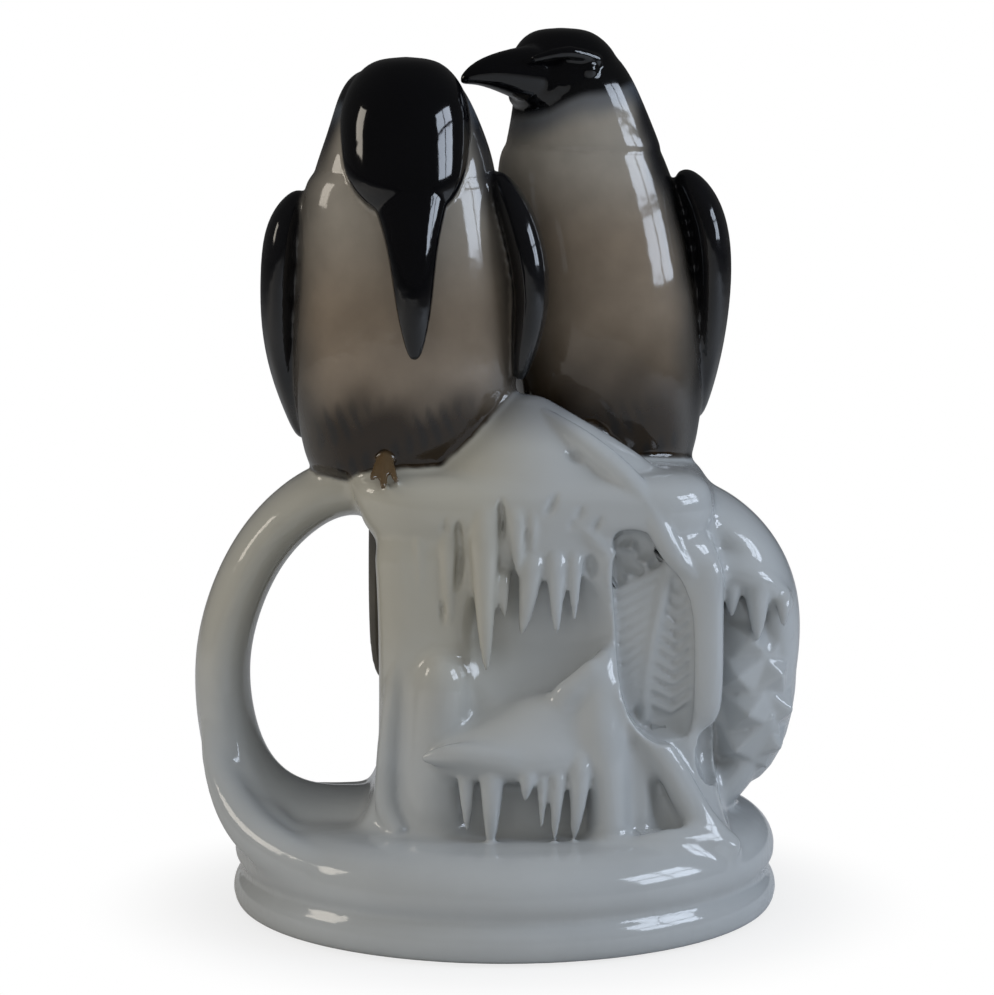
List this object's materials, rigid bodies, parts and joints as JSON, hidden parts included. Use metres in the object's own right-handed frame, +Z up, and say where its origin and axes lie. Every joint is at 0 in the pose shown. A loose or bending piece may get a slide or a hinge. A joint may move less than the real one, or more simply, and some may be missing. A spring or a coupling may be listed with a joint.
{
  "type": "penguin figurine",
  "caption": "Glazed porcelain ornament: two penguins side by side on an ice rock with an open arch, icicles and a hewn grotto, on a round ringed plinth.",
  "frame": {"origin": "centre of the plinth on the surface it stands on", "axes": "+Z up, -Y towards the viewer of the picture, +X to the viewer's right"},
  "size_m": [0.14, 0.1252, 0.2],
  "materials": {
    "ice_glaze": "glossy clear glaze over pale blue-grey white porcelain",
    "shaded_plumage_glaze": "glossy glaze over airbrushed cream, brown and grey underglaze",
    "black_glaze": "glossy glaze over black underglaze",
    "wing_glaze": "glossy glaze over dark brown-black underglaze, brushed in feather strokes",
    "toe_glaze": "glossy glaze over dark brown underglaze"
  },
  "bodies": {
    "root": {"plinth": "ice_glaze", "ice_rock": "ice_glaze", "ice_cap": "ice_glaze", "snow_ridge": "ice_glaze", "ice_arch": "ice_glaze", "grotto_arch": "ice_glaze", "grotto_wall": "ice_glaze", "frost_pillar": "ice_glaze", "frost_fern": "ice_glaze", "snow_drift": "ice_glaze", "snow_mound": "ice_glaze", "cap_icicles": "ice_glaze", "niche_icicles": "ice_glaze", "drift_icicles": "ice_glaze", "grotto_icicles": "ice_glaze", "left_penguin_body": "shaded_plumage_glaze", "left_penguin_head": "black_glaze", "left_penguin_bill": "black_glaze", "left_penguin_outer_wing": "wing_glaze", "left_penguin_inner_wing": "wing_glaze", "left_penguin_tail": "wing_glaze", "left_penguin_foot": "toe_glaze", "right_penguin_body": "shaded_plumage_glaze", "right_penguin_head": "black_glaze", "right_penguin_bill": "black_glaze", "right_penguin_outer_wing": "wing_glaze", "right_penguin_inner_wing": "wing_glaze", "right_penguin_tail": "wing_glaze"}
  },
  "joints": []
}
